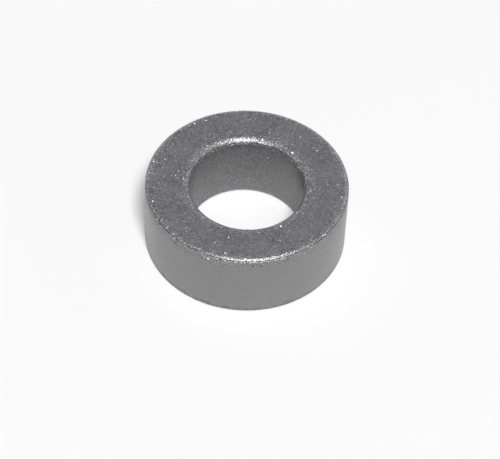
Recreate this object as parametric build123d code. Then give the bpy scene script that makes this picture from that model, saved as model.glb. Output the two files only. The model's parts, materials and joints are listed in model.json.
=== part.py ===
from build123d import *
from math import cos, radians, sin
import os

# Pressed and sintered ferrite ring, one piece, in millimetres and degrees.
# The bore runs along +Z and the origin is the centre of the lower end face.

# Main sizes
outer_diameter = 12.70
bore_diameter = 7.15
height = 4.90

# Rim at the outer wall: the punch rolls it over from the flat end face to this slope,
# and a short straight flank runs on from the roll to a crease
outer_rim_radius = 0.33
outer_rim_slope = 46.0
outer_flank_length = 0.026

# Land between the outer crease and the wall, and the round that runs it into the wall
outer_land_length = 0.030
outer_land_slope = 34.0
outer_wall_round = 0.080

# Rim at the bore wall, wider and softer
bore_rim_radius = 0.53
bore_rim_slope = 54.0
bore_flank_length = 0.032

# Land between the bore crease and the bore wall, and its round
bore_land_length = 0.030
bore_land_slope = 48.0
bore_wall_round = 0.085

OUTWARD = 1
TOWARDS_BORE = -1


def section_point(radius, level):
    """A point of the half section, which lies in the XZ plane."""
    return Vector(radius, 0, level)


def sloping(length, slope, facing):
    """A step of this length that runs towards the wall and down at this slope."""
    return Vector(facing * length * cos(radians(slope)), 0, -length * sin(radians(slope)))


def roll_step(radius, slope, facing):
    """The step from a roll's level start to where it has turned to this slope."""
    turned = radians(slope)
    return Vector(facing * radius * sin(turned), 0, -radius * (1 - cos(turned)))


def round_step(radius, slope, facing):
    """The step from where a round leaves this slope to where it meets the wall."""
    turned = radians(slope)
    return Vector(facing * radius * (1 - sin(turned)), 0, -radius * cos(turned))


def pressed_rim(wall, facing, rim_radius, rim_slope, flank_length, land_length, land_slope, wall_round):
    """One upper rim between the end face and a wall: roll, flank, crease, land and round.

    wall is the wall's radius and facing the side of it that is open air.
    Returns the edges, with the points where the end face and the wall take over.
    """
    roll = roll_step(rim_radius, rim_slope, facing)
    flank = sloping(flank_length, rim_slope, facing)
    land = sloping(land_length, land_slope, facing)
    rounding = round_step(wall_round, land_slope, facing)
    whole = roll + flank + land + rounding

    face_end = section_point(wall - whole.X, height)
    roll_end = face_end + roll
    crease = roll_end + flank
    land_end = crease + land
    wall_start = land_end + rounding

    edges = [
        TangentArc(face_end, roll_end, tangent=(facing, 0, 0)),
        Line(roll_end, crease),
        Line(crease, land_end),
        TangentArc(wall_start, land_end, tangent=(0, 0, 1)),
    ]
    return edges, face_end, wall_start


def straight_wall(top):
    """A wall's line in the section, from its upper end down to that end's mirror image."""
    return Line(top, section_point(top.X, height - top.Z))


def ring_section():
    """The ring's closed half section, its lower edges the mirror image of its upper ones."""
    outer_rim, outer_face_end, outer_wall_top = pressed_rim(
        outer_diameter / 2, OUTWARD, outer_rim_radius, outer_rim_slope, outer_flank_length,
        outer_land_length, outer_land_slope, outer_wall_round)
    bore_rim, bore_face_end, bore_wall_top = pressed_rim(
        bore_diameter / 2, TOWARDS_BORE, bore_rim_radius, bore_rim_slope, bore_flank_length,
        bore_land_length, bore_land_slope, bore_wall_round)

    upper_edges = Curve() + [*bore_rim, Line(bore_face_end, outer_face_end), *outer_rim]
    lower_edges = mirror(upper_edges, about=Plane.XY.offset(height / 2))
    walls = Curve() + [straight_wall(outer_wall_top), straight_wall(bore_wall_top)]
    return make_face((upper_edges + lower_edges + walls).edges())


core = revolve(ring_section(), axis=Axis.Z)
core.label = "toroid_core"
core.color = Color(0.20, 0.20, 0.21)

os.makedirs("parts", exist_ok=True)
export_step(core, "parts/toroid_core.step")
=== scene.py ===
"""Looks of a ferrite ring core: its sintered skin, a pale floor and soft studio light.

Lengths are in metres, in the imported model's frame: +Z runs up the bore's axis, and the
origin is the centre of the lower end face.
"""

import json
import logging
import math
from dataclasses import dataclass, replace
from enum import Enum
from typing import Any, ClassVar, Mapping, Optional, Sequence, Union

import bmesh
import bpy
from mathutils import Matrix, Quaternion, Vector


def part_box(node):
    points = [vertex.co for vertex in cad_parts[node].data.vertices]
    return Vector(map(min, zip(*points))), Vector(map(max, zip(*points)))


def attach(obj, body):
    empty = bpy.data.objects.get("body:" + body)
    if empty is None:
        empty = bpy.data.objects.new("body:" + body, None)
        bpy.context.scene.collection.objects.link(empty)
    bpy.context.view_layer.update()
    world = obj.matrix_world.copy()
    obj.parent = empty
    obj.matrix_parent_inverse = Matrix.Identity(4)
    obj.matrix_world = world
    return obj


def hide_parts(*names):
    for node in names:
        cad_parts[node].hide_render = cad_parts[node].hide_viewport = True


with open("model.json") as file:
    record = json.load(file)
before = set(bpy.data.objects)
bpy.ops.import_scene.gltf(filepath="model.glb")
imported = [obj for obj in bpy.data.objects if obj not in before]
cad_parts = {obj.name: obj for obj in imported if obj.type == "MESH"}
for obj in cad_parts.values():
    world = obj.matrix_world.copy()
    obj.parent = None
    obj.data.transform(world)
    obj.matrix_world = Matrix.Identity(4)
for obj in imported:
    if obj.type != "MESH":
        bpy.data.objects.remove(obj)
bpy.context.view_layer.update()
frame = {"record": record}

MM = 0.001
CORE_NODE = "toroid_core"
BODY = "root"

# How grainy the skin is along a rim, where a drawn wall has 0
GROOVE_GRAIN = 0.5
ROLL_START_GRAIN = 0.6
ROLL_GRAIN = 0.8
CRUMBLED_GRAIN = 1.0

# Where most values of a noise lie, and the factor that brings their swing about 0.5 up to 1
NOISE_SPAN = (0.3, 0.7)
NOISE_GAIN = 4.0

LOG = logging.getLogger("ring_core")

Feed = Union[bpy.types.NodeSocket, float, str, Sequence[float]]
Colour = tuple[float, float, float, float]
Span = tuple[float, float]


class Side(Enum):
    """Which way a wall of the ring faces, as a sign along the radius."""

    OUTWARD = 1
    TOWARDS_BORE = -1


class Trait(Enum):
    """Values that the section hands on to every vertex of the swept ring."""

    GRAIN = "grain"
    SKIN = "skin"
    WAVER = "waver"
    # How much painted shade darkens the skin at and beside the crease
    CREASE = "crease"
    BORE = "bore"


def shares(rows: int) -> list[float]:
    """The ends of a number of even rows, as shares from 0 to 1."""
    return [row / rows for row in range(rows + 1)]


class NodePen:
    """Draws nodes into one tree and wires them as they are named."""

    def __init__(self, tree: bpy.types.NodeTree) -> None:
        """Start drawing in a tree."""
        self.tree = tree

    def feed(self, socket: bpy.types.NodeSocket, value: Feed) -> None:
        """Give one input a value.

        Args:
            socket: The input.
            value: Another node's output, which is linked, or a plain value, which is set.
        """
        if isinstance(value, bpy.types.NodeSocket):
            self.tree.links.new(value, socket)
        else:
            socket.default_value = value

    def node(
        self,
        kind: str,
        inputs: Optional[Mapping[Union[str, int], Feed]] = None,
        **settings: Any,
    ) -> bpy.types.Node:
        """Add one node.

        Args:
            kind: The node's type name.
            inputs: What goes into its inputs, by name or place.
            **settings: Its own properties.

        Returns:
            The node.
        """
        made = self.tree.nodes.new(kind)
        for name, value in settings.items():
            setattr(made, name, value)
        for key, value in (inputs or {}).items():
            self.feed(made.inputs[key], value)
        return made

    def math(self, operation: str, *values: Feed) -> bpy.types.NodeSocket:
        """Do one sum on numbers.

        Args:
            operation: The Math node's operation.
            *values: Its operands.

        Returns:
            The result.
        """
        return self.node("ShaderNodeMath", dict(enumerate(values)), operation=operation).outputs[0]

    def vector(self, operation: str, *values: Feed) -> bpy.types.NodeSocket:
        """Do one sum on vectors.

        Args:
            operation: The Vector Math node's operation.
            *values: Its vector operands.

        Returns:
            The resulting vector.
        """
        made = self.node("ShaderNodeVectorMath", dict(enumerate(values)), operation=operation)
        return made.outputs["Vector"]

    def scaled(self, vector: Feed, factor: Feed) -> bpy.types.NodeSocket:
        """A vector times a number.

        Args:
            vector: The vector.
            factor: The number.

        Returns:
            The product.
        """
        made = self.node("ShaderNodeVectorMath", {"Vector": vector, "Scale": factor}, operation="SCALE")
        return made.outputs["Vector"]

    def remap(
        self, value: Feed, span: Span, low: float = 0.0, high: float = 1.0
    ) -> bpy.types.NodeSocket:
        """Carry a number from one range to another, held at its ends.

        Args:
            value: The number.
            span: The range that it comes from.
            low: What the start of that range becomes.
            high: What its end becomes.

        Returns:
            The number in the second range.
        """
        start, end = span
        made = self.node(
            "ShaderNodeMapRange",
            {"Value": value, "From Min": start, "From Max": end, "To Min": low, "To Max": high},
        )
        return made.outputs["Result"]

    def noise(
        self, place: Feed, scale: Feed, detail: float, roughness: float = 0.5
    ) -> bpy.types.NodeSocket:
        """Add a smooth noise.

        Args:
            place: Where it is read.
            scale: How many of its waves go into a metre.
            detail: How many finer layers it has.
            roughness: How strong those layers are.

        Returns:
            The noise, about 0.5.
        """
        made = self.node(
            "ShaderNodeTexNoise",
            {"Vector": place, "Scale": scale, "Detail": detail, "Roughness": roughness},
        )
        return made.outputs["Fac"]


@dataclass(frozen=True)
class SectionPoint:
    """One corner of the ring's section, with what the skin does there."""

    radius: float
    level: float
    grain: float = 0.0
    skin: float = 1.0
    waver: float = 0.0
    # How much painted shade darkens the skin here, at and beside the crease
    crease: float = 0.0
    bore: float = 0.0

    def trait(self, trait: Trait) -> float:
        """The value of one trait here."""
        return float(getattr(self, trait.value))

    def at_level(self, level: float) -> "SectionPoint":
        """The same corner at another level."""
        return replace(self, level=level)


@dataclass(frozen=True)
class RimPlace:
    """Where a rim sits: at which wall, on which side of it and under which end face."""

    wall: float
    side: Side
    top: float

    def corner(self, inset: float, drop: float, **traits: float) -> SectionPoint:
        """Place one corner of the rim.

        Args:
            inset: How far it lies inside the wall.
            drop: How far it lies below the end face.
            **traits: What the skin does there.

        Returns:
            The corner.
        """
        return SectionPoint(self.wall - self.side.value * inset, self.top - drop, **traits)


@dataclass(frozen=True)
class RimForm:
    """Edge between an end face and a wall: roll, flank, crease, land and the round into the wall.

    The crease is the bottom of a fine groove, which painted shade darkens; the crease's
    spread is how much of that painted shade the groove's lips beside it take. The skirt is the
    strip of wall over which the pressed skin ends. The three wavers say how far the roll's end,
    the lower lip and the round waver with the crease.
    """

    radius: float
    slope: float
    flank_length: float
    land_length: float
    land_slope: float
    wall_round: float
    skirt_length: float
    groove_depth: float
    groove_width: float
    crease_shade_spread: float
    rolled_rows: int
    flank_rows: int
    round_rows: int
    skirt_rows: int
    roll_waver: float = 0.4
    lip_waver: float = 0.8
    round_waver: float = 0.5

    @property
    def lip(self) -> float:
        """How far each lip of the groove lies from the crease."""
        return self.groove_width / 2

    @property
    def crease_inset(self) -> float:
        """How far the crease lies inside the wall."""
        land_run = self.land_length * math.cos(self.land_slope)
        return self.wall_round * (1 - math.sin(self.land_slope)) + land_run

    @property
    def crease_drop(self) -> float:
        """How far the crease lies below the end face."""
        return self.radius * (1 - math.cos(self.slope)) + self.flank_length * math.sin(self.slope)

    @property
    def wall_drop(self) -> float:
        """How far below the end face the straight wall starts."""
        land_drop = self.land_length * math.sin(self.land_slope)
        return self.crease_drop + land_drop + self.wall_round * math.cos(self.land_slope)

    def points(self, place: RimPlace, wall_skin: float) -> list[SectionPoint]:
        """The rim's outline, from the end face to the foot of its skirt on the wall.

        Args:
            place: Where the rim sits.
            wall_skin: How much of the pressed skin the wall has.

        Returns:
            The corners in order.
        """
        return [
            *self.rolled(place), *self.flank(place), *self.groove(place),
            *self.rounded(place), *self.skirt(place, wall_skin),
        ]

    def rolled(self, place: RimPlace) -> list[SectionPoint]:
        """The roll, from the end face down to where it has its full slope.

        Args:
            place: Where the rim sits.

        Returns:
            The corners in order.
        """
        flank_run = self.flank_length * math.cos(self.slope)
        centre = self.crease_inset + flank_run + self.radius * math.sin(self.slope)
        return [
            place.corner(
                centre - self.radius * math.sin(share * self.slope),
                self.radius * (1 - math.cos(share * self.slope)),
                grain=ROLL_START_GRAIN + (ROLL_GRAIN - ROLL_START_GRAIN) * min(1.0, 2 * share),
                waver=self.roll_waver * share ** 4,
            )
            for share in shares(self.rolled_rows)
        ]

    def flank(self, place: RimPlace) -> list[SectionPoint]:
        """The straight flank, from the roll's end to the groove's upper lip.

        Args:
            place: Where the rim sits.

        Returns:
            The corners in order, without the first.
        """
        corners = []
        for share in shares(self.flank_rows)[1:]:
            rest = self.flank_length - share * (self.flank_length - self.lip)
            # The flank's end, the groove's upper lip, takes a share of the crease's painted shade
            corners.append(place.corner(
                self.crease_inset + rest * math.cos(self.slope),
                self.crease_drop - rest * math.sin(self.slope),
                grain=ROLL_GRAIN,
                waver=self.roll_waver + share * (1.0 - self.roll_waver),
                crease=self.crease_shade_spread * share,
            ))
        return corners

    def groove(self, place: RimPlace) -> list[SectionPoint]:
        """The bottom of the crease's groove, and its lower lip.

        Args:
            place: Where the rim sits.

        Returns:
            The two corners.
        """
        inward = (self.slope + self.land_slope) / 2
        # The groove's bottom carries the crease's full painted shade, and its lower lip a share
        bottom = place.corner(
            self.crease_inset + self.groove_depth * math.sin(inward),
            self.crease_drop + self.groove_depth * math.cos(inward),
            grain=GROOVE_GRAIN, waver=1.0, crease=1.0,
        )
        lower_lip = place.corner(
            self.crease_inset - self.lip * math.cos(self.land_slope),
            self.crease_drop + self.lip * math.sin(self.land_slope),
            grain=ROLL_GRAIN, waver=self.lip_waver, crease=self.crease_shade_spread / 2,
        )
        return [bottom, lower_lip]

    def rounded(self, place: RimPlace) -> list[SectionPoint]:
        """The round that runs the land into the wall.

        Args:
            place: Where the rim sits.

        Returns:
            The corners in order.
        """
        corners = []
        for share in shares(self.round_rows):
            tilt = self.land_slope + share * (math.pi / 2 - self.land_slope)
            corners.append(place.corner(
                self.wall_round * (1 - math.sin(tilt)),
                self.wall_drop - self.wall_round * math.cos(tilt),
                grain=ROLL_GRAIN + (CRUMBLED_GRAIN - ROLL_GRAIN) * share ** 2,
                waver=self.round_waver * (1.0 - share),
            ))
        return corners

    def skirt(self, place: RimPlace, wall_skin: float) -> list[SectionPoint]:
        """The strip of wall over which the pressed skin gives way to the wall's own.

        Args:
            place: Where the rim sits.
            wall_skin: How much of the pressed skin the wall has.

        Returns:
            The corners in order, without the first.
        """
        return [
            place.corner(
                0.0, self.wall_drop + share * self.skirt_length,
                grain=CRUMBLED_GRAIN * (share < 1.0),
                skin=1.0 + share * (wall_skin - 1.0),
                bore=share * (place.side is Side.TOWARDS_BORE),
            )
            for share in shares(self.skirt_rows)[1:]
        ]


@dataclass(frozen=True)
class SkinValue:
    """One value of the pressed skin: on the end faces, on the rolls and on the crumbled edge."""

    face: float
    roll: float
    crumbled: float

    ROLL_SPAN: ClassVar[Span] = (0.5, 0.75)
    CRUMBLED_SPAN: ClassVar[Span] = (ROLL_GRAIN, CRUMBLED_GRAIN)

    def draw(self, pen: NodePen, grain: Feed) -> bpy.types.NodeSocket:
        """Let the value follow the skin's grain.

        Args:
            pen: The material's pen.
            grain: How grainy the skin is.

        Returns:
            The value at each place.
        """
        rolled = pen.remap(grain, self.ROLL_SPAN, self.face, self.roll)
        step = pen.remap(grain, self.CRUMBLED_SPAN, 0.0, self.crumbled - self.roll)
        return pen.math("ADD", rolled, step)


@dataclass(frozen=True)
class SinteredFerrite:
    """Grey sintered ferrite: grainy pressed skin with crystal glints, and smoother die-drawn walls.

    A matt is a roughness, and a lean is the furthest slope that a facet takes along each axis.
    A crystal stands out by up to 1, and it takes on its polish over the glint_span of that.
    The skin's end is scattered by the fray, crystal by crystal, and drawn over its span.
    """

    name: str = "sintered_ferrite"
    pressed_dark: Colour = (0.060, 0.059, 0.068, 1.0)
    pressed_light: Colour = (0.220, 0.216, 0.242, 1.0)
    # Darker colour of the crumbled edge: painted shade of the pits between its crystals
    crumbled_shade_colour: Colour = (0.078, 0.078, 0.086, 1.0)
    # Pale colour of crystals on the rolls and the crumbled edge: a painted sheen
    painted_sheen_colour: Colour = (0.700, 0.700, 0.720, 1.0)
    drawn_dark: Colour = (0.050, 0.048, 0.049, 1.0)
    drawn_light: Colour = (0.120, 0.117, 0.118, 1.0)
    # Darker colour of the bore wall: painted shade inside the bore
    bore_shade_colour: Colour = (0.030, 0.029, 0.030, 1.0)
    # Pale colour of crystals that stand out: a painted glint, on top of their real tilt and polish
    painted_glint_colour: Colour = (0.36, 0.37, 0.39, 1.0)
    # Near black painted into the crease and its lips: painted shade in the groove
    crease_shade_colour: Colour = (0.012, 0.012, 0.013, 1.0)
    crystal_size: float = 0.075 * MM
    fine_size: float = 0.040 * MM
    patch_size: float = 1.6 * MM
    crystal_tone: float = 0.6
    refraction: float = 2.4
    fray: float = 0.30
    fray_span: Span = (0.3, 0.7)
    # How far the rolls and the crumbled edge are paled, and how few crystals take most of it: a painted
    # sheen
    painted_sheen: SkinValue = SkinValue(face=0.0, roll=0.40, crumbled=0.40)
    painted_sheen_contrast: float = 3.0
    # How far the crumbled edge is darkened: painted shade of its pits
    crumbled_shade: SkinValue = SkinValue(face=0.0, roll=0.0, crumbled=0.8)
    glint_chance: SkinValue = SkinValue(face=0.06, roll=0.20, crumbled=0.60)
    pressed_matt: SkinValue = SkinValue(face=0.42, roll=0.33, crumbled=0.45)
    glint_matt: SkinValue = SkinValue(face=0.40, roll=0.30, crumbled=0.30)
    glint_span: Span = (0.2, 0.6)
    drawn_matt: float = 0.32
    drawn_streaks: float = 0.04
    bore_matt: float = 0.52
    usual_lean: SkinValue = SkinValue(face=0.05, roll=0.05, crumbled=0.25)
    glint_lean: SkinValue = SkinValue(face=0.75, roll=0.75, crumbled=1.00)
    fine_lean: float = 0.06
    wall_lean: float = 0.30

    def build(self) -> bpy.types.Material:
        """Make the material.

        Returns:
            The material.
        """
        material = bpy.data.materials.new(self.name)
        material.use_nodes = True
        material.node_tree.nodes.clear()
        pen = NodePen(material.node_tree)
        place = pen.node("ShaderNodeTexCoord").outputs["Object"]
        crystals = self.cells(pen, place, self.crystal_size)
        grit = self.cells(pen, place, self.fine_size)
        skin = self.skin(pen, crystals)
        glints = self.glints(pen, crystals)
        sparks = self.glints(pen, grit)
        shader = pen.node(
            "ShaderNodeBsdfPrincipled",
            {
                "Base Color": self.colour(pen, place, skin, crystals, glints),
                "Roughness": self.roughness(pen, place, skin, pen.math("MAXIMUM", glints, sparks)),
                "Normal": self.facets(pen, skin, crystals, glints, grit, sparks),
                "IOR": self.refraction,
            },
        )
        pen.node("ShaderNodeOutputMaterial", {"Surface": shader.outputs["BSDF"]})
        return material

    @staticmethod
    def attribute(pen: NodePen, trait: Trait) -> bpy.types.NodeSocket:
        """One of the ring's own values, as a number."""
        return pen.node("ShaderNodeAttribute", attribute_name=trait.value).outputs["Fac"]

    def skin(self, pen: NodePen, crystals: bpy.types.Node) -> bpy.types.NodeSocket:
        """Let the pressed skin end crystal by crystal.

        Args:
            pen: The material's pen.
            crystals: The crystals.

        Returns:
            1 on pressed skin and 0 on drawn walls.
        """
        own = pen.node("ShaderNodeSeparateColor", {"Color": crystals.outputs["Color"]}).outputs["Green"]
        chance = pen.remap(own, (0.0, 1.0), -self.fray, self.fray)
        return pen.remap(pen.math("ADD", self.attribute(pen, Trait.SKIN), chance), self.fray_span)

    @staticmethod
    def cells(pen: NodePen, place: Feed, size: float) -> bpy.types.Node:
        """Split space into crystals.

        Args:
            pen: The material's pen.
            place: The object coordinates.
            size: A crystal's width.

        Returns:
            The node, whose colour is random for each crystal.
        """
        return pen.node("ShaderNodeTexVoronoi", {"Vector": place, "Scale": 1 / size})

    def glints(self, pen: NodePen, crystals: bpy.types.Node) -> bpy.types.NodeSocket:
        """Pick the crystals that stand out: few on a face, more on a roll, most on a crumbled edge.

        Args:
            pen: The material's pen.
            crystals: The crystals.

        Returns:
            How far each crystal stands out, up to 1, and 0 for the rest.
        """
        share = self.glint_chance.draw(pen, self.attribute(pen, Trait.GRAIN))
        own = pen.node("ShaderNodeTexWhiteNoise", {"Vector": crystals.outputs["Position"]})
        part = pen.math("DIVIDE", own.outputs["Value"], share)
        return pen.math("MAXIMUM", pen.math("SUBTRACT", 1.0, part), 0.0)

    def colour(
        self, pen: NodePen, place: Feed, skin: Feed, crystals: bpy.types.Node, glints: Feed
    ) -> bpy.types.NodeSocket:
        """Mottled grey, bluish on the pressed skin, with painted glints, sheen and shade.

        Args:
            pen: The material's pen.
            place: The object coordinates.
            skin: 1 on pressed skin and 0 on drawn walls.
            crystals: The crystals.
            glints: How far each crystal stands out, up to 1.

        Returns:
            The base colour.
        """
        mottle = pen.noise(place, 1 / self.patch_size, detail=5.0, roughness=0.8)
        patches = pen.math("MULTIPLY", pen.remap(mottle, NOISE_SPAN), 1 - self.crystal_tone)
        own = pen.node("ShaderNodeSeparateColor", {"Color": crystals.outputs["Color"]}).outputs["Red"]
        tone = pen.math("ADD", pen.math("MULTIPLY", own, self.crystal_tone), patches)
        pressed = self.blend(pen, tone, self.pressed_dark, self.pressed_light)
        grain = self.attribute(pen, Trait.GRAIN)
        # Paler crystals on the rolls and the crumbled edge: a painted sheen
        palest = pen.math("POWER", own, self.painted_sheen_contrast)
        sheen_share = pen.math("MULTIPLY", self.painted_sheen.draw(pen, grain), palest)
        pressed = self.blend(pen, sheen_share, pressed, self.painted_sheen_colour)
        # The crumbled edge is darkened: painted shade of the pits between its crystals
        pressed = self.blend(pen, self.crumbled_shade.draw(pen, grain), pressed, self.crumbled_shade_colour)
        # Crystals that stand out are paled: a painted glint, on top of their real tilt and polish
        pressed = self.blend(pen, pen.math("MULTIPLY", glints, own), pressed, self.painted_glint_colour)
        drawn = self.blend(pen, tone, self.drawn_dark, self.drawn_light)
        # The bore wall is darkened in colour: painted shade inside the bore
        drawn = self.blend(pen, self.attribute(pen, Trait.BORE), drawn, self.bore_shade_colour)
        whole = self.blend(pen, skin, drawn, pressed)
        # Painted shade: the crease and its lips darkened towards near black
        return self.blend(pen, self.attribute(pen, Trait.CREASE), whole, self.crease_shade_colour)

    @staticmethod
    def blend(pen: NodePen, share: Feed, first: Feed, second: Feed) -> bpy.types.NodeSocket:
        """Mix two colours.

        Args:
            pen: The material's pen.
            share: How much of the second shows.
            first: The first colour.
            second: The second colour.

        Returns:
            The mixed colour.
        """
        made = pen.node("ShaderNodeMix", data_type="RGBA")
        pen.feed(made.inputs["Factor"], share)
        colours = [socket for socket in made.inputs if socket.enabled and socket.type == "RGBA"]
        pen.feed(colours[0], first)
        pen.feed(colours[1], second)
        return next(socket for socket in made.outputs if socket.enabled)

    def roughness(self, pen: NodePen, place: Feed, skin: Feed, shine: Feed) -> bpy.types.NodeSocket:
        """Half-gloss outside, duller bore, matt faces, polished rims and a crumbled edge below them.

        Args:
            pen: The material's pen.
            place: The object coordinates.
            skin: 1 on pressed skin and 0 on drawn walls.
            shine: How far a crystal stands out, up to 1.

        Returns:
            The roughness.
        """
        streaks = pen.noise(place, 1 / self.patch_size, detail=4.0)
        glossiest, mattest = self.drawn_matt - self.drawn_streaks, self.drawn_matt + self.drawn_streaks
        outside = pen.remap(streaks, NOISE_SPAN, glossiest, mattest)
        duller = pen.math("MULTIPLY", self.attribute(pen, Trait.BORE), self.bore_matt - self.drawn_matt)
        drawn = pen.math("ADD", outside, duller)
        grain = self.attribute(pen, Trait.GRAIN)
        usual = self.pressed_matt.draw(pen, grain)
        polish = pen.math("SUBTRACT", self.glint_matt.draw(pen, grain), usual)
        pressed = pen.math(
            "ADD", usual, pen.math("MULTIPLY", pen.remap(shine, self.glint_span), polish))
        step = pen.math("SUBTRACT", pressed, drawn)
        return pen.math("ADD", drawn, pen.math("MULTIPLY", step, skin))

    def facets(
        self, pen: NodePen, skin: Feed, crystals: bpy.types.Node, glints: Feed,
        grit: bpy.types.Node, sparks: Feed,
    ) -> bpy.types.NodeSocket:
        """Tilt each crystal's facet its own way, a little for most and far for the bright ones.

        Args:
            pen: The material's pen.
            skin: 1 on pressed skin and 0 on drawn walls.
            crystals: The crystals.
            glints: How far each crystal stands out, up to 1.
            grit: The small crystals between them.
            sparks: How far each small crystal stands out, up to 1.

        Returns:
            The shading normal.
        """
        normal = pen.node("ShaderNodeNewGeometry").outputs["Normal"]
        grain = self.attribute(pen, Trait.GRAIN)
        usual = self.usual_lean.draw(pen, grain)
        far = self.glint_lean.draw(pen, grain)
        coarse = self.lean(pen, crystals, pen.math("ADD", pen.math("MULTIPLY", glints, far), usual))
        fine = self.lean(pen, grit, pen.math("ADD", pen.math("MULTIPLY", sparks, far), self.fine_lean))
        strength = pen.remap(skin, (0.0, 1.0), self.wall_lean, 1.0)
        both = pen.scaled(pen.vector("ADD", coarse, fine), strength)
        return pen.vector("NORMALIZE", pen.vector("ADD", normal, both))

    @staticmethod
    def lean(pen: NodePen, cells: bpy.types.Node, reach: Feed) -> bpy.types.NodeSocket:
        """How far each cell's facet leans, as a vector.

        Args:
            pen: The material's pen.
            cells: The cells.
            reach: The furthest slope that a facet takes along each axis.

        Returns:
            The lean.
        """
        spread = pen.vector("SUBTRACT", cells.outputs["Color"], (0.5, 0.5, 0.5))
        return pen.scaled(pen.scaled(spread, 2.0), reach)


@dataclass
class RingSweep:
    """Geometry Nodes tree that sweeps the ring's section round the axis and gives it its grain."""

    mean_radius: float
    steps: int
    grain_depth: float = 0.008 * MM
    grain_shift: float = 0.012 * MM
    waver_depth: float = 0.018 * MM
    waver_length: float = 0.35 * MM
    swell_depth: float = 0.004 * MM
    swell_length: float = 1.1 * MM
    seed: int = 7
    grain_contrast: float = 3.0
    faceted_from: float = 0.4

    NUMBERS: ClassVar[Mapping[str, tuple[str, str]]] = {
        "Mean Radius": ("NodeSocketFloat", "mean_radius"),
        "Steps": ("NodeSocketInt", "steps"),
        "Grain Depth": ("NodeSocketFloat", "grain_depth"),
        "Grain Shift": ("NodeSocketFloat", "grain_shift"),
        "Waver Depth": ("NodeSocketFloat", "waver_depth"),
        "Waver Length": ("NodeSocketFloat", "waver_length"),
        "Swell Depth": ("NodeSocketFloat", "swell_depth"),
        "Swell Length": ("NodeSocketFloat", "swell_length"),
        "Seed": ("NodeSocketInt", "seed"),
    }

    def tree(self) -> bpy.types.GeometryNodeTree:
        """Draw the tree.

        Returns:
            The tree, with a named input for each size.
        """
        tree = bpy.data.node_groups.new("ring_sweep", "GeometryNodeTree")
        tree.interface.new_socket("Section", in_out="INPUT", socket_type="NodeSocketGeometry")
        for name, (kind, _) in self.NUMBERS.items():
            tree.interface.new_socket(name, in_out="INPUT", socket_type=kind)
        tree.interface.new_socket("Skin", in_out="INPUT", socket_type="NodeSocketMaterial")
        tree.interface.new_socket("Ring", in_out="OUTPUT", socket_type="NodeSocketGeometry")

        pen = NodePen(tree)
        given = pen.node("NodeGroupInput").outputs
        ring = self.swept(pen, given)
        ring = self.wavered(pen, given, ring)
        ring = self.swollen(pen, given, ring)
        ring = self.grained(pen, given, ring)
        ring = self.shaded(pen, ring)
        plain = pen.node("GeometryNodeRealizeInstances", {"Geometry": ring}).outputs["Geometry"]
        dressed = pen.node("GeometryNodeSetMaterial", {"Geometry": plain, "Material": given["Skin"]})
        pen.node("NodeGroupOutput", {"Ring": dressed.outputs["Geometry"]})
        return tree

    @staticmethod
    def trait(pen: NodePen, trait: Trait) -> bpy.types.NodeSocket:
        """One of the section's values at each vertex."""
        made = pen.node("GeometryNodeInputNamedAttribute", {"Name": trait.value}, data_type="FLOAT")
        return made.outputs["Attribute"]

    @staticmethod
    def moved(pen: NodePen, ring: Feed, offset: Feed) -> bpy.types.NodeSocket:
        """The ring with every vertex moved by its own offset."""
        made = pen.node("GeometryNodeSetPosition", {"Geometry": ring, "Offset": offset})
        return made.outputs["Geometry"]

    @staticmethod
    def swept(pen: NodePen, given: bpy.types.NodeOutputs) -> bpy.types.NodeSocket:
        """Sweep the section round a circle.

        Args:
            pen: The tree's pen.
            given: The tree's inputs.

        Returns:
            The plain ring.
        """
        section = pen.node("GeometryNodeMeshToCurve", {"Mesh": given["Section"]}).outputs["Curve"]
        path = pen.node(
            "GeometryNodeCurvePrimitiveCircle",
            {"Resolution": given["Steps"], "Radius": given["Mean Radius"]},
            mode="RADIUS",
        ).outputs["Curve"]
        swept = pen.node("GeometryNodeCurveToMesh", {"Curve": path, "Profile Curve": section})
        return swept.outputs["Mesh"]

    def wavered(
        self, pen: NodePen, given: bpy.types.NodeOutputs, ring: Feed
    ) -> bpy.types.NodeSocket:
        """Let the creases waver up and down as they go round.

        Args:
            pen: The tree's pen.
            given: The tree's inputs.
            ring: The ring so far.

        Returns:
            The ring with wavering creases.
        """
        place = pen.node("GeometryNodeInputPosition").outputs["Position"]
        noise = pen.noise(place, pen.math("DIVIDE", 1.0, given["Waver Length"]), detail=3.0)
        swing = pen.math("MULTIPLY", pen.math("SUBTRACT", noise, 0.5), NOISE_GAIN)
        depth = pen.math("MULTIPLY", given["Waver Depth"], self.trait(pen, Trait.WAVER))
        rise = pen.node("ShaderNodeCombineXYZ", {"Z": pen.math("MULTIPLY", swing, depth)})
        return self.moved(pen, ring, rise.outputs["Vector"])

    def swollen(
        self, pen: NodePen, given: bpy.types.NodeOutputs, ring: Feed
    ) -> bpy.types.NodeSocket:
        """Give the ring the faint unevenness of a sintered part, always inwards.

        Args:
            pen: The tree's pen.
            given: The tree's inputs.
            ring: The ring so far.

        Returns:
            The uneven ring.
        """
        place = pen.node("GeometryNodeInputPosition").outputs["Position"]
        noise = pen.noise(place, pen.math("DIVIDE", 1.0, given["Swell Length"]), detail=2.0)
        normal = pen.node("GeometryNodeInputNormal").outputs["Normal"]
        depth = pen.math("MULTIPLY", pen.math("SUBTRACT", noise, 1.0), given["Swell Depth"])
        return self.moved(pen, ring, pen.scaled(normal, depth))

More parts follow.
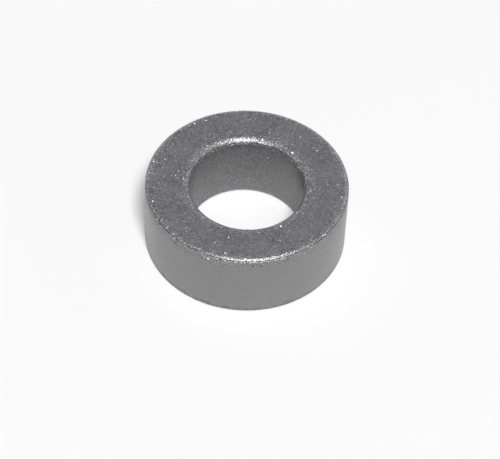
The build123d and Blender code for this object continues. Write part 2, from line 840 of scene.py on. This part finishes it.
    def grained(
        self, pen: NodePen, given: bpy.types.NodeOutputs, ring: Feed
    ) -> bpy.types.NodeSocket:
        """Break the pressed skin into small facets.

        Args:
            pen: The tree's pen.
            given: The tree's inputs.
            ring: The ring so far.

        Returns:
            The ring with its grain.
        """
        normal = pen.node("GeometryNodeInputNormal").outputs["Normal"]
        chance = pen.node("FunctionNodeRandomValue", {"Seed": given["Seed"]}, data_type="FLOAT_VECTOR")
        pen.feed(chance.inputs["Min"], (-1.0, -1.0, -1.0))
        spread = chance.outputs["Value"]
        across = pen.node("ShaderNodeVectorMath", {0: spread, 1: normal}, operation="DOT_PRODUCT")
        flat = pen.vector("SUBTRACT", spread, pen.scaled(normal, across.outputs["Value"]))
        sink = pen.math("SUBTRACT", across.outputs["Value"], 1.0)
        shift = pen.vector(
            "ADD",
            pen.scaled(flat, given["Grain Shift"]),
            pen.scaled(normal, pen.math("MULTIPLY", sink, given["Grain Depth"])),
        )
        share = pen.math("POWER", self.trait(pen, Trait.GRAIN), self.grain_contrast)
        return self.moved(pen, ring, pen.scaled(shift, share))

    def shaded(self, pen: NodePen, ring: Feed) -> bpy.types.NodeSocket:
        """Shade the walls smooth and leave the grain faceted.

        Args:
            pen: The tree's pen.
            ring: The ring so far.

        Returns:
            The ring with its shading set.
        """
        smooth = pen.math("LESS_THAN", self.trait(pen, Trait.GRAIN), self.faceted_from)
        return pen.node(
            "GeometryNodeSetShadeSmooth", {"Geometry": ring, "Shade Smooth": smooth}, domain="FACE"
        ).outputs["Geometry"]

    def grow(self, section: bpy.types.Mesh, material: bpy.types.Material) -> bpy.types.Mesh:
        """Run the tree on a section.

        Args:
            section: The section's closed outline.
            material: What the ring is made of.

        Returns:
            The ring as a plain mesh.
        """
        seed = bpy.data.objects.new("section", section)
        bpy.context.scene.collection.objects.link(seed)
        tree = self.tree()
        modifier = seed.modifiers.new("sweep", "NODES")
        modifier.node_group = tree
        sockets = {item.name: item.identifier for item in tree.interface.items_tree}
        for name, (_, size) in self.NUMBERS.items():
            modifier[sockets[name]] = getattr(self, size)
        modifier[sockets["Skin"]] = material
        evaluated = seed.evaluated_get(bpy.context.evaluated_depsgraph_get())
        grown = bpy.data.meshes.new_from_object(evaluated)
        seed.modifiers.remove(modifier)
        bpy.data.objects.remove(seed)
        return grown


@dataclass
class RingCore:
    """The ferrite ring itself: one pressed and sintered piece."""

    outer_radius: float
    bore_radius: float
    height: float
    outer_rim: RimForm = RimForm(
        radius=0.33 * MM, slope=math.radians(46), flank_length=0.026 * MM,
        land_length=0.030 * MM, land_slope=math.radians(34), wall_round=0.080 * MM,
        skirt_length=0.55 * MM, groove_depth=0.030 * MM, groove_width=0.036 * MM,
        crease_shade_spread=0.2, rolled_rows=9, flank_rows=1, round_rows=4, skirt_rows=6,
    )
    bore_rim: RimForm = RimForm(
        radius=0.53 * MM, slope=math.radians(54), flank_length=0.032 * MM,
        land_length=0.030 * MM, land_slope=math.radians(48), wall_round=0.085 * MM,
        skirt_length=0.08 * MM, groove_depth=0.036 * MM, groove_width=0.060 * MM,
        crease_shade_spread=0.9, rolled_rows=13, flank_rows=1, round_rows=2, skirt_rows=2,
    )
    steps_round: int = 720
    face_rows: int = 15
    wall_rows: int = 9
    face_grain: float = 0.45
    outer_wall_skin: float = 0.0
    bore_wall_skin: float = 0.3
    foot_skirt: float = 0.05 * MM

    @classmethod
    def from_frame(cls) -> "RingCore":
        """Take the ring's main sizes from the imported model.

        Returns:
            The ring.
        """
        _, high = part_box(CORE_NODE)
        bore = next(mount for mount in frame["record"]["mounts"] if mount["name"] == "bore")
        return cls(outer_radius=high.x, bore_radius=bore["dims"]["r_mm"] * MM, height=high.z)

    def outline(self) -> list[SectionPoint]:
        """The section's corners, once round.

        Returns:
            The corners, from the upper end of the bore wall outwards and back.
        """
        upper = self.end(self.bore_rim, self.outer_rim)
        lower = self.end(
            replace(self.bore_rim, skirt_length=self.foot_skirt),
            replace(self.outer_rim, skirt_length=self.foot_skirt),
        )
        lower = [point.at_level(self.height - point.level) for point in reversed(lower)]
        return [*upper, *self.wall(upper[-1], lower[0]), *lower, *self.wall(lower[-1], upper[0])]

    def end(self, bore_form: RimForm, outer_form: RimForm) -> list[SectionPoint]:
        """The upper end: bore rim, end face and outer rim.

        Args:
            bore_form: The rim at the bore.
            outer_form: The rim at the outer wall.

        Returns:
            The corners, from the bore wall outwards.
        """
        bore_rim = bore_form.points(
            RimPlace(self.bore_radius, Side.TOWARDS_BORE, self.height), self.bore_wall_skin)
        outer_rim = outer_form.points(
            RimPlace(self.outer_radius, Side.OUTWARD, self.height), self.outer_wall_skin)
        start, end = bore_rim[0].radius, outer_rim[0].radius
        face = []
        for share in shares(self.face_rows)[1:-1]:
            edge = abs(2 * share - 1) ** 3
            grain = self.face_grain + (ROLL_START_GRAIN - self.face_grain) * edge
            face.append(SectionPoint(start + (end - start) * share, self.height, grain=grain))
        return [*reversed(bore_rim), *face, *outer_rim]

    def wall(self, first: SectionPoint, last: SectionPoint) -> list[SectionPoint]:
        """The corners along a straight wall, without its ends.

        Args:
            first: The wall's first end.
            last: Its other end.

        Returns:
            The corners between them.
        """
        return [
            first.at_level(first.level + (last.level - first.level) * share)
            for share in shares(self.wall_rows)[1:-1]
        ]

    def section(self) -> bpy.types.Mesh:
        """The section as a closed loop of edges, laid out for the sweep.

        Returns:
            The loop, with the skin's values on its vertices. A sweep turns +Y to -Z.
        """
        corners = self.outline()
        mesh = bpy.data.meshes.new("ring_section")
        places = [(corner.radius - self.mean_radius, -corner.level, 0.0) for corner in corners]
        edges = [(index, (index + 1) % len(corners)) for index in range(len(corners))]
        mesh.from_pydata(places, edges, [])
        for trait in Trait:
            values = mesh.attributes.new(trait.value, "FLOAT", "POINT")
            values.data.foreach_set("value", [corner.trait(trait) for corner in corners])
        return mesh

    @property
    def mean_radius(self) -> float:
        """The radius of the circle that the section is swept round."""
        return (self.outer_radius + self.bore_radius) / 2

    def build(self) -> bpy.types.Object:
        """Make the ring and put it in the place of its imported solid.

        Returns:
            The ring.
        """
        sweep = RingSweep(mean_radius=self.mean_radius, steps=self.steps_round)
        mesh = sweep.grow(self.section(), SinteredFerrite().build())
        self.face_outwards(mesh)
        ring = bpy.data.objects.new("sintered_ring", mesh)
        bpy.context.scene.collection.objects.link(ring)
        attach(ring, BODY)
        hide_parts(CORE_NODE)
        LOG.info("%s: %d triangles", ring.name, sum(len(face.vertices) - 2 for face in mesh.polygons))
        return ring

    @staticmethod
    def face_outwards(mesh: bpy.types.Mesh) -> None:
        """Turn every face of a closed mesh outwards.

        Args:
            mesh: The mesh.
        """
        shell = bmesh.new()
        shell.from_mesh(mesh)
        bmesh.ops.recalc_face_normals(shell, faces=shell.faces)
        shell.to_mesh(mesh)
        shell.free()


@dataclass
class Studio:
    """Pale floor, soft light and the camera.

    The sky's strengths are sky_low in front, sky_back behind and sky_high overhead. Its left
    side has the sky_left share of the first two, and its right side gains what that loses.
    """

    camera_place: Vector
    camera_aim: Vector
    camera_roll: float
    lens: float
    sensor_width: float = 36.0
    nearest: float = 0.005
    farthest: float = 10.0
    floor_width: float = 0.6
    floor_colour: Colour = (0.74, 0.74, 0.744, 1.0)
    floor_lift: float = 0.17
    sky_low: float = 0.24
    sky_back: float = 0.60
    sky_left: float = 0.40
    sky_side: float = 0.8
    sky_high: float = 0.05
    sky_top: float = 0.75
    sky_colour: Colour = (1.0, 1.0, 1.0, 1.0)
    horizon_span: Span = (0.15, 0.30)
    key_way: tuple[float, float, float] = (0.104, -0.489, 0.866)
    key_distance: float = 1.8
    key_width: float = 0.40
    key_power: float = 36.0

    def build(self) -> None:
        """Set the floor, the lights and the camera."""
        self.floor()
        self.sky()
        self.lamp("key", Vector(self.key_way) * self.key_distance, self.key_width, self.key_power)
        self.camera()
        bpy.context.scene.view_settings.view_transform = "Standard"
        LOG.info("studio: floor, sky, key lamp and camera")

    def floor(self) -> None:
        """Lay the floor."""
        half = self.floor_width / 2
        mesh = bpy.data.meshes.new("floor")
        mesh.from_pydata(
            [(-half, -half, 0.0), (half, -half, 0.0), (half, half, 0.0), (-half, half, 0.0)],
            [], [(0, 1, 2, 3)],
        )
        mesh.materials.append(self.floor_paint())
        floor = bpy.data.objects.new("floor", mesh)
        bpy.context.scene.collection.objects.link(floor)

    def floor_paint(self) -> bpy.types.Material:
        """Matt pale paint that looks nearly white to the camera and in reflections.

        Returns:
            The material.
        """
        material = bpy.data.materials.new("pale_floor")
        material.use_nodes = True
        material.node_tree.nodes.clear()
        pen = NodePen(material.node_tree)
        matt = pen.node("ShaderNodeBsdfDiffuse", {"Color": self.floor_colour}).outputs["BSDF"]
        lift = pen.math("MULTIPLY", self.seen(pen), self.floor_lift)
        glow = pen.node("ShaderNodeEmission", {"Strength": lift})
        both = pen.node("ShaderNodeAddShader", {0: matt, 1: glow.outputs["Emission"]})
        pen.node("ShaderNodeOutputMaterial", {"Surface": both.outputs["Shader"]})
        return material

    @staticmethod
    def seen(pen: NodePen) -> bpy.types.NodeSocket:
        """1 on rays that show a surface to the camera, also in gloss or through glass.

        Args:
            pen: The pen of the material or the world.

        Returns:
            1 on those rays and 0 on all others.
        """
        path = pen.node("ShaderNodeLightPath").outputs
        mirrored = pen.math("MAXIMUM", path["Is Glossy Ray"], path["Is Transmission Ray"])
        return pen.math("MAXIMUM", path["Is Camera Ray"], mirrored)

    def sky(self) -> None:
        """Fill the room with soft light, paler low down and to the right, with a white horizon."""
        world = bpy.data.worlds.new("room")
        world.use_nodes = True
        world.node_tree.nodes.clear()
        pen = NodePen(world.node_tree)
        way = pen.node("ShaderNodeTexCoord").outputs["Generated"]
        part = pen.node("ShaderNodeSeparateXYZ", {"Vector": way}).outputs
        ahead = pen.remap(part["Y"], (0.0, 1.0), self.sky_low, self.sky_back)
        sides = (-self.sky_side, self.sky_side)
        across = pen.remap(part["X"], sides, self.sky_left, 2 - self.sky_left)
        low = pen.math("MULTIPLY", ahead, across)
        share = pen.remap(part["Z"], (0.0, self.sky_top))
        fall = pen.math("MULTIPLY", share, pen.math("SUBTRACT", self.sky_high, low))
        glow = pen.math("ADD", low, fall)
        horizon = pen.remap(part["Z"], self.horizon_span, 1.0, 0.0)
        backdrop = pen.math("MULTIPLY", self.seen(pen), horizon)
        lift = pen.math("MULTIPLY", backdrop, pen.math("SUBTRACT", 1.0, glow))
        strength = pen.math("ADD", glow, lift)
        light = pen.node("ShaderNodeBackground", {"Color": self.sky_colour, "Strength": strength})
        pen.node("ShaderNodeOutputWorld", {"Surface": light.outputs["Background"]})
        bpy.context.scene.world = world

    @staticmethod
    def lamp(name: str, place: Vector, width: float, power: float) -> None:
        """Hang one square soft lamp that looks at the ring.

        Args:
            name: The lamp's name.
            place: Where it hangs.
            width: Its side.
            power: Its power in watts.
        """
        light = bpy.data.lights.new(name, "AREA")
        light.size = width
        light.energy = power
        lamp = bpy.data.objects.new(name, light)
        lamp.location = place
        lamp.rotation_mode = "QUATERNION"
        lamp.rotation_quaternion = (-place).to_track_quat("-Z", "Y")
        bpy.context.scene.collection.objects.link(lamp)

    def camera(self) -> None:
        """Set the camera where the photograph was taken from."""
        view = bpy.data.cameras.new("camera")
        view.sensor_width = self.sensor_width
        view.lens = self.lens
        view.clip_start = self.nearest
        view.clip_end = self.farthest
        camera = bpy.data.objects.new("camera", view)
        look = self.camera_aim - self.camera_place
        roll = Quaternion((0.0, 0.0, 1.0), self.camera_roll)
        camera.location = self.camera_place
        camera.rotation_mode = "QUATERNION"
        camera.rotation_quaternion = look.to_track_quat("-Z", "Y") @ roll
        bpy.context.scene.collection.objects.link(camera)
        bpy.context.scene.camera = camera


def main() -> None:
    """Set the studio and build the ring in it."""
    logging.basicConfig(level=logging.INFO, format="%(name)s: %(message)s")
    Studio(
        camera_place=Vector((-0.577, -96.613, 113.319)) * MM,
        camera_aim=Vector((0.309, 0.395, 0.0)) * MM,
        camera_roll=math.radians(2.59),
        lens=168.22,
    ).build()
    RingCore.from_frame().build()


if __name__ == "__main__":
    main()
